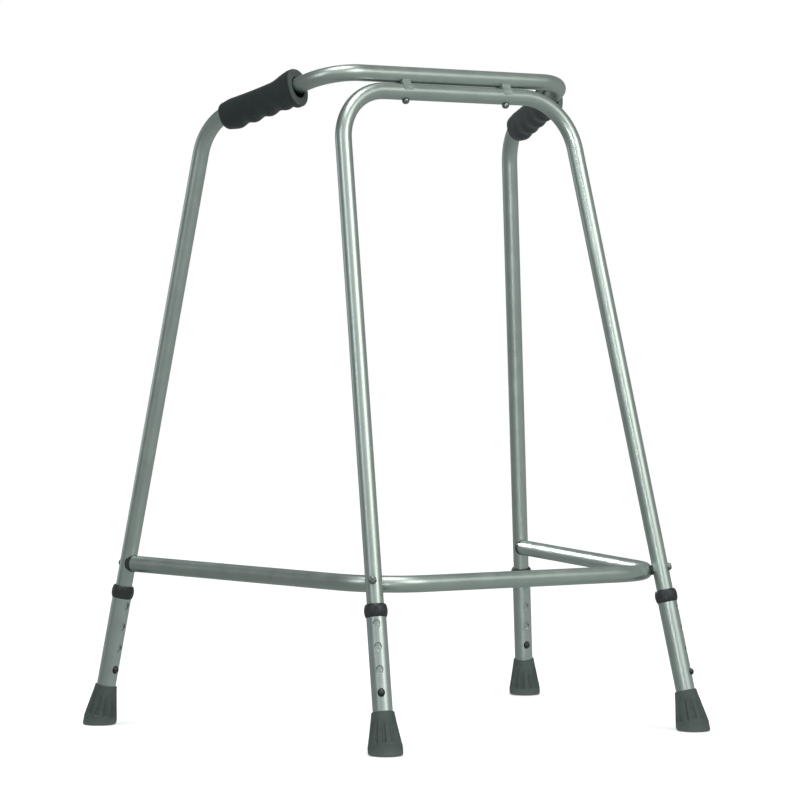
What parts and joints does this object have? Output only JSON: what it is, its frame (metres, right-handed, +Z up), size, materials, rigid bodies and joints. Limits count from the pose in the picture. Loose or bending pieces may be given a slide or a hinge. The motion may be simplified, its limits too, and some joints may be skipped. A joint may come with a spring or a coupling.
{
  "type": "walking frame",
  "caption": "Height-adjustable walking frame: bent tube handle frame bolted on an inverted-U front frame, low brace, moulded handgrips, telescopic legs and rubber ferrules.",
  "frame": {"origin": "on the floor, midway between the four ferrules", "axes": "+Z up; -Y is the closed front, away from the user; +X is the user's left"},
  "size_m": [0.6628, 0.495, 0.7657],
  "materials": {
    "satin_aluminium": "satin, clear anodised",
    "leg_aluminium": "satin, clear anodised",
    "black_collar": "moulded, light sheen",
    "zinc_steel": "zinc plated",
    "grey_rubber": "moulded grey rubber",
    "slate_grip": "moulded, slightly soft",
    "button_steel": "dark plated",
    "spring_steel": "cold rolled",
    "pale_plastic": "translucent moulding",
    "black_plastic": "moulded"
  },
  "bodies": {
    "frame": {"brace_bolts": "zinc_steel", "brace_front_saddles": "black_plastic", "brace_nuts": "zinc_steel", "brace_rear_caps": "black_plastic", "brace_washers": "zinc_steel", "button_spring_front_left": "spring_steel", "button_spring_front_right": "spring_steel", "button_spring_rear_left": "spring_steel", "button_spring_rear_right": "spring_steel", "crossbar_bolts": "zinc_steel", "crossbar_inserts": "zinc_steel", "crossbar_pads": "pale_plastic", "front_frame": "satin_aluminium", "handgrip_left": "slate_grip", "handgrip_right": "slate_grip", "lower_brace": "satin_aluminium", "rear_handle_frame": "satin_aluminium"},
    "leg_front_left": {"leg_extension_front_left": "leg_aluminium", "leg_collar_front_left": "black_collar", "ferrule_front_left": "grey_rubber", "ferrule_washer_front_left": "zinc_steel"},
    "button_front_left": {"snap_button_front_left": "button_steel"},
    "leg_rear_left": {"leg_extension_rear_left": "leg_aluminium", "leg_collar_rear_left": "black_collar", "ferrule_rear_left": "grey_rubber", "ferrule_washer_rear_left": "zinc_steel"},
    "button_rear_left": {"snap_button_rear_left": "button_steel"},
    "leg_front_right": {"leg_extension_front_right": "leg_aluminium", "leg_collar_front_right": "black_collar", "ferrule_front_right": "grey_rubber", "ferrule_washer_front_right": "zinc_steel"},
    "button_front_right": {"snap_button_front_right": "button_steel"},
    "leg_rear_right": {"leg_extension_rear_right": "leg_aluminium", "leg_collar_rear_right": "black_collar", "ferrule_rear_right": "grey_rubber", "ferrule_washer_rear_right": "zinc_steel"},
    "button_rear_right": {"snap_button_rear_right": "button_steel"}
  },
  "joints": [
    {"name": "leg_front_left_slide", "type": "slide", "parent": "frame", "child": "leg_front_left", "axis": [0.0738, -0.228, -0.9708], "range_m": [0, 0.0762], "deforming": ["snap_button_front_left"]},
    {"name": "leg_rear_left_slide", "type": "slide", "parent": "frame", "child": "leg_rear_left", "axis": [0.1294, 0.1266, -0.9835], "range_m": [0, 0.0762], "deforming": ["snap_button_rear_left"]},
    {"name": "leg_front_right_slide", "type": "slide", "parent": "frame", "child": "leg_front_right", "axis": [-0.0738, -0.228, -0.9708], "range_m": [0, 0.0762], "deforming": ["snap_button_front_right"]},
    {"name": "leg_rear_right_slide", "type": "slide", "parent": "frame", "child": "leg_rear_right", "axis": [-0.1294, 0.1266, -0.9835], "range_m": [0, 0.0762], "deforming": ["snap_button_rear_right"]},
    {"name": "button_front_left_press", "type": "slide", "parent": "frame", "child": "button_front_left", "axis": [-0.5719, 0.7879, -0.2285], "range_m": [0, 0.0045], "stiffness_N_per_m": 1500, "springref_m": -0.001, "deforming": ["button_spring_front_left"]},
    {"name": "button_rear_left_press", "type": "slide", "parent": "frame", "child": "button_rear_left", "axis": [0.2046, 0.9671, 0.1514], "range_m": [0, 0.0045], "stiffness_N_per_m": 1500, "springref_m": -0.001, "deforming": ["button_spring_rear_left"]},
    {"name": "button_front_right_press", "type": "slide", "parent": "frame", "child": "button_front_right", "axis": [0.5719, 0.7879, -0.2285], "range_m": [0, 0.0045], "stiffness_N_per_m": 1500, "springref_m": -0.001, "deforming": ["button_spring_front_right"]},
    {"name": "button_rear_right_press", "type": "slide", "parent": "frame", "child": "button_rear_right", "axis": [-0.2046, 0.9671, 0.1514], "range_m": [0, 0.0045], "stiffness_N_per_m": 1500, "springref_m": -0.001, "deforming": ["button_spring_rear_right"]}
  ]
}
